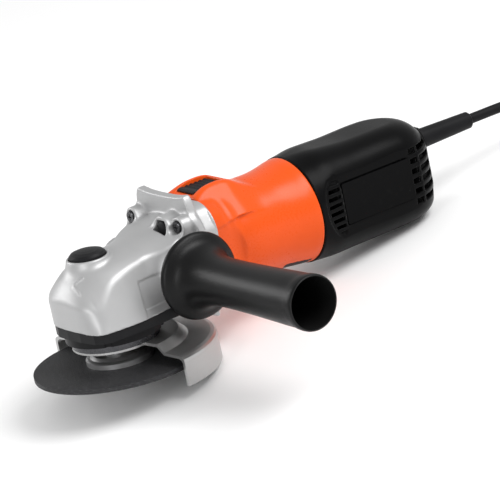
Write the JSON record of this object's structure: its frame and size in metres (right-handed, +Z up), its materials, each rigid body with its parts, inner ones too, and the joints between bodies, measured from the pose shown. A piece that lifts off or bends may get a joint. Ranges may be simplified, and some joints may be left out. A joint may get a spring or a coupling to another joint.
{
  "type": "angle grinder",
  "caption": "Small corded angle grinder with a cast gear head, swivelling wheel guard, cutting wheel, screw-in side handle, slide switch and mains cord with plug.",
  "frame": {"origin": "middle of the tool's footprint, on the bench that it rests on by the rear of its guard and the underside of its tail, measured without the free cord", "axes": "+X runs from the gear head to the cord, level with the bench; +Y points away from the side handle; +Z is up. The tool itself leans back by 8.97 degrees, nose up, as it rests"},
  "size_m": [0.541, 0.2425, 0.1083],
  "materials": {
    "cast_alloy": "satin cast",
    "black_cover": "fine grained",
    "orange_shell": "satin moulded",
    "black_shell": "satin moulded",
    "plate_gloss": "gloss",
    "grip_black": "fine grained",
    "guard_steel": "satin",
    "plain_steel": "machined",
    "bearing_steel": "ground",
    "screw_steel": "blackened",
    "abrasive": "coarse grit",
    "bronze": "plain",
    "copper": "enamelled wire",
    "laminated_iron": "varnished",
    "felt": "pressed felt",
    "carbon": "pressed carbon",
    "spring_steel": "drawn wire",
    "cord_rubber": "matt",
    "pin_nickel": "nickel plated"
  },
  "bodies": {
    "tool": {"gear_housing": "cast_alloy", "bearing_cover": "black_cover", "cover_screws": "screw_steel", "head_screws": "screw_steel", "spindle_bearing_outer": "bearing_steel", "spindle_bush": "bronze", "felt_seal": "felt", "lock_spring": "spring_steel", "motor_housing": "orange_shell", "bearing_plate": "plain_steel", "front_bearing_outer": "bearing_steel", "air_baffle": "black_cover", "rear_bearing_outer": "bearing_steel", "bearing_boot": "cord_rubber", "stator_core": "laminated_iron", "field_coils": "copper", "brush_holders": "bronze", "carbon_brushes": "carbon", "brush_springs": "spring_steel", "switch_unit": "black_cover", "tail_housing": "black_shell", "tail_screws": "screw_steel", "side_plates": "plate_gloss", "cord_clamp": "black_cover", "clamp_screws": "screw_steel", "strain_relief": "cord_rubber", "cord": "cord_rubber", "cord_end": "cord_rubber", "cord_coil": "cord_rubber", "cord_tie": "black_cover", "plug_body": "cord_rubber", "plug_pins": "pin_nickel"},
    "spindle": {"spindle": "plain_steel", "crown_gear": "plain_steel", "crown_key": "plain_steel", "backing_flange": "plain_steel", "cutting_wheel": "abrasive", "clamp_nut": "plain_steel", "spindle_bearing_inner": "bearing_steel"},
    "armature": {"armature_shaft": "plain_steel", "pinion": "plain_steel", "pinion_nut": "plain_steel", "front_bearing_inner": "bearing_steel", "fan": "black_cover", "armature_core": "laminated_iron", "armature_windings": "copper", "commutator": "copper", "rear_bearing_inner": "bearing_steel"},
    "guard": {"guard_hood": "guard_steel", "guard_band": "screw_steel", "band_screw": "screw_steel"},
    "lock": {"lock_button": "black_shell"},
    "side_handle": {"handle_grip": "grip_black", "handle_stud": "plain_steel"},
    "switch": {"slide_button": "black_cover", "switch_rod": "plain_steel"}
  },
  "joints": [
    {"name": "spindle_spin", "type": "hinge", "parent": "tool", "child": "spindle", "pos_m": [-0.12526, 0.05625, 0.03878], "axis": [0.1558, 0, 0.9878], "continuous": true},
    {"name": "armature_spin", "type": "hinge", "parent": "tool", "child": "armature", "pos_m": [-0.02128, 0.05625, 0.05618], "axis": [0.9878, 0, -0.1558], "continuous": true},
    {"name": "guard_swivel", "type": "hinge", "parent": "tool", "child": "guard", "pos_m": [-0.12542, 0.05625, 0.03779], "axis": [0.1558, 0, 0.9878], "range_deg": [-120, 120]},
    {"name": "lock_press", "type": "slide", "parent": "tool", "child": "lock", "axis": [-0.1558, 0, -0.9878], "range_m": [0, 0.0035], "stiffness_N_per_m": 900, "springref_m": -0.001, "deforming": ["lock_spring"]},
    {"name": "switch_slide", "type": "slide", "parent": "tool", "child": "switch", "axis": [-0.9878, 0, 0.1558], "range_m": [0, 0.008], "stiffness_N_per_m": 450, "springref_m": -0.001},
    {"name": "handle_unscrew", "type": "slide", "parent": "tool", "child": "side_handle", "axis": [0, -1, 0], "range_m": [0, 0.018]}
  ],
  "couplings": [
    {"joint": "armature_spin", "follows": "spindle_spin", "ratio": 3.0833}
  ]
}
